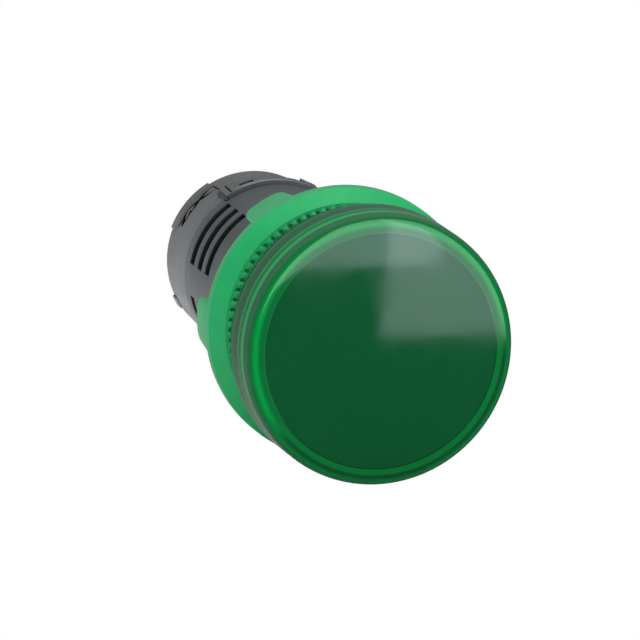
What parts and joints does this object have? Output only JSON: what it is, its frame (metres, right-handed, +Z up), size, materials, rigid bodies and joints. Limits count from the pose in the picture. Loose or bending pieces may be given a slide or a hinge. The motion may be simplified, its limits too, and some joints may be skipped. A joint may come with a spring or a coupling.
{
  "type": "panel pilot light",
  "caption": "Round green indicator lamp for a panel hole, with a vented barrel, a lugged ring nut behind the panel and screw terminals at the rear.",
  "frame": {"origin": "centre of the gasket's rear face, which lies on the front plane of the panel", "axes": "-Y is the side that is seen, +Y runs along the barrel to the terminals, +Z is up"},
  "size_m": [0.0294, 0.0544, 0.0294],
  "materials": {
    "lens_green": "smooth glossy moulding",
    "seal_rubber": "matt rubber",
    "diffuser_white": "milky",
    "reflector_white": "bright white",
    "barrel_grey": "fine matt moulding",
    "gasket_rubber": "matt rubber",
    "nut_green": "satin moulding",
    "block_grey": "fine matt moulding",
    "board_green": "lacquered glass laminate",
    "pin_brass": "plain",
    "package_black": "moulded package",
    "coating_blue": "dipped coating",
    "can_black": "sleeved can",
    "resistor_beige": "lacquered",
    "lamp_white": "surface mounted lamp",
    "strip_tinned": "tinned",
    "washer_zinc": "zinc plated",
    "screw_zinc": "zinc plated"
  },
  "bodies": {
    "housing": {"lens_cap": "lens_green", "lens_seal_ring": "seal_rubber", "light_diffuser": "diffuser_white", "reflector_cup": "reflector_white", "head_barrel": "barrel_grey", "panel_gasket": "gasket_rubber", "terminal_block": "block_grey", "led_board": "board_green", "led_1": "lamp_white", "led_2": "lamp_white", "led_3": "lamp_white", "led_4": "lamp_white", "led_5": "lamp_white", "led_6": "lamp_white", "link_pin_1": "pin_brass", "link_pin_2": "pin_brass", "power_board": "board_green", "bridge_rectifier": "package_black", "surge_varistor": "coating_blue", "smoothing_capacitor": "can_black", "dropping_resistor_1": "resistor_beige", "dropping_resistor_2": "resistor_beige", "terminal_strip_x1": "strip_tinned", "terminal_strip_x2": "strip_tinned"},
    "nut": {"fixing_nut": "nut_green"},
    "clamp_x1": {"clamp_washer_x1": "washer_zinc"},
    "screw_x1": {"terminal_screw_x1": "screw_zinc"},
    "clamp_x2": {"clamp_washer_x2": "washer_zinc"},
    "screw_x2": {"terminal_screw_x2": "screw_zinc"}
  },
  "joints": [
    {"name": "nut_travel", "type": "slide", "parent": "housing", "child": "nut", "axis": [0, 1, 0], "range_m": [-0.0052, 0.01]},
    {"name": "clamp_x1_travel", "type": "slide", "parent": "housing", "child": "clamp_x1", "axis": [0, 1, 0], "range_m": [0, 0.002]},
    {"name": "screw_x1_turn", "type": "hinge", "parent": "clamp_x1", "child": "screw_x1", "pos_m": [0.00425, 0.041, 0], "axis": [0, 1, 0], "range_deg": [0, 1440]},
    {"name": "clamp_x2_travel", "type": "slide", "parent": "housing", "child": "clamp_x2", "axis": [0, 1, 0], "range_m": [0, 0.002]},
    {"name": "screw_x2_turn", "type": "hinge", "parent": "clamp_x2", "child": "screw_x2", "pos_m": [-0.00425, 0.041, 0], "axis": [0, 1, 0], "range_deg": [0, 1440]}
  ],
  "couplings": [
    {"joint": "screw_x1_turn", "follows": "clamp_x1_travel", "rad_per_m": 12566},
    {"joint": "screw_x2_turn", "follows": "clamp_x2_travel", "rad_per_m": 12566}
  ]
}
